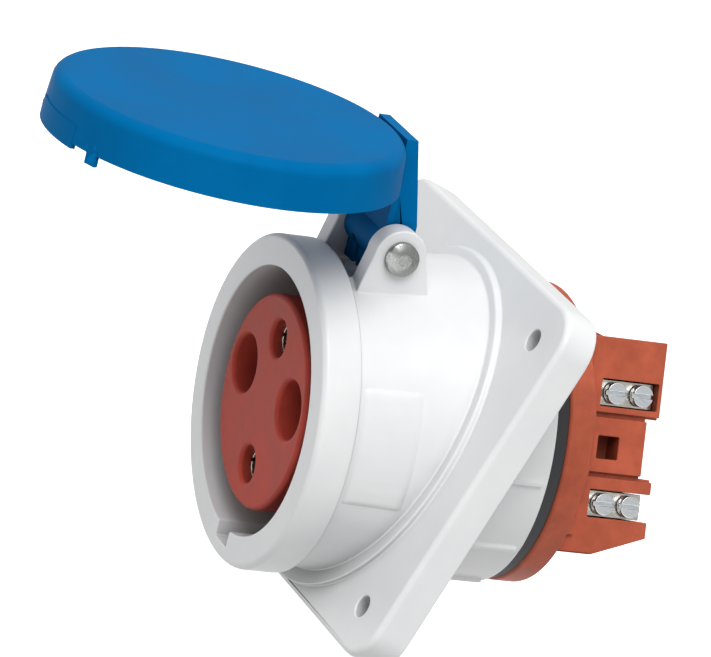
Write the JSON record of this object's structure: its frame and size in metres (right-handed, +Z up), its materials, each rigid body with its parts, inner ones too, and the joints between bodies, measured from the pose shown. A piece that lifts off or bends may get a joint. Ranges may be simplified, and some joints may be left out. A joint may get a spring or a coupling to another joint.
{
  "type": "industrial panel socket",
  "caption": "Sloped panel-mounting power socket with a hinged blue lid, a light housing on a rectangular flange and a red insert with screw terminals at the back.",
  "frame": {"origin": "centre of the four fixing holes, on the flange's back face, which lies against the panel", "axes": "+X to the right seen from the mouth's side, +Y into the panel, +Z up; the mouth points along -Y and slopes 20 degrees down"},
  "size_m": [0.084, 0.1451, 0.0868],
  "materials": {
    "housing_plastic": "moulded polyamide, light grey, satin gloss",
    "lid_plastic": "moulded polyamide, blue, satin gloss",
    "insert_plastic": "moulded glass-filled polyamide, brick red",
    "rubber": "moulded rubber, dark grey",
    "stainless_steel": "drawn and turned stainless steel",
    "zinc_plated_steel": "zinc plated steel",
    "nickel_plated_brass": "turned brass with nickel plating"
  },
  "bodies": {
    "socket": {"housing": "housing_plastic", "hinge_pin": "stainless_steel", "pin_clip": "stainless_steel", "hinge_spring": "stainless_steel", "panel_gasket": "rubber", "contact_carrier": "insert_plastic", "terminal_base": "insert_plastic", "base_seal": "rubber", "base_screw": "zinc_plated_steel", "contact_top": "nickel_plated_brass", "contact_right": "nickel_plated_brass", "contact_bottom": "nickel_plated_brass", "contact_left": "nickel_plated_brass", "ring_top": "stainless_steel", "ring_right": "stainless_steel", "ring_bottom": "stainless_steel", "ring_left": "stainless_steel", "terminal_screw_top": "zinc_plated_steel", "terminal_screw_right": "zinc_plated_steel", "terminal_screw_bottom": "zinc_plated_steel", "terminal_screw_left": "zinc_plated_steel", "end_screw_top": "zinc_plated_steel", "end_screw_right": "zinc_plated_steel", "end_screw_bottom": "zinc_plated_steel", "end_screw_left": "zinc_plated_steel"},
    "lid": {"lid": "lid_plastic", "lid_seal": "rubber"}
  },
  "joints": [
    {"name": "lid_hinge", "type": "hinge", "parent": "socket", "child": "lid", "pos_m": [0, -0.0282, 0.0278], "axis": [1, 0, 0], "range_deg": [-15, 90], "stiffness_Nm_per_rad": 0.01, "springref_deg": 114.59, "deforming": ["hinge_spring"]}
  ]
}
